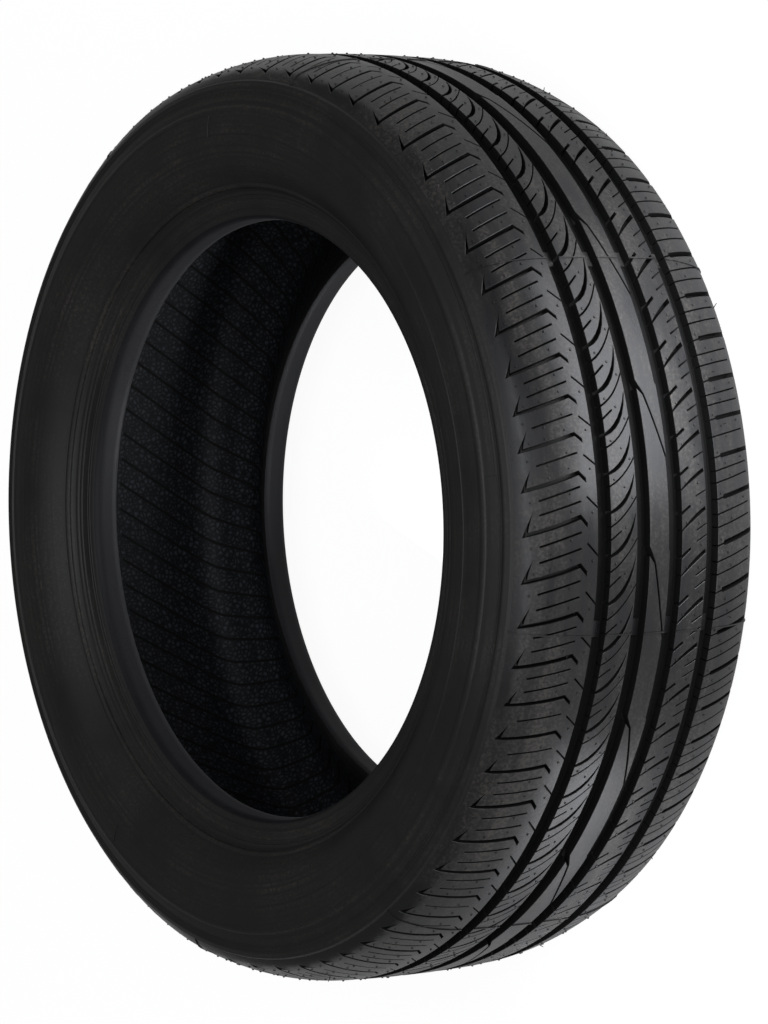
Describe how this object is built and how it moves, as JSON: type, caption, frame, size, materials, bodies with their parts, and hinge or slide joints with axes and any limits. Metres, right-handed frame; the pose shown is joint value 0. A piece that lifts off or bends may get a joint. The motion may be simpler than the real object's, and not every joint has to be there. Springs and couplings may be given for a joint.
{
  "type": "car tyre",
  "caption": "Rubber car tyre, unmounted, with tread grooves round it, slotted shoulders and ribs, plain sidewalls and beads that grip a wheel rim.",
  "frame": {"origin": "centre of the tyre, on its axis and halfway between the beads", "axes": "+Z along the axis, out of the sidewall that the picture shows; the tyre lies on the other sidewall"},
  "size_m": [0.6788, 0.6788, 0.233],
  "materials": {
    "tyre_rubber": "matt moulded black rubber, a little dusty on the sidewall"
  },
  "bodies": {
    "root": {"tyre": "tyre_rubber"}
  },
  "joints": []
}
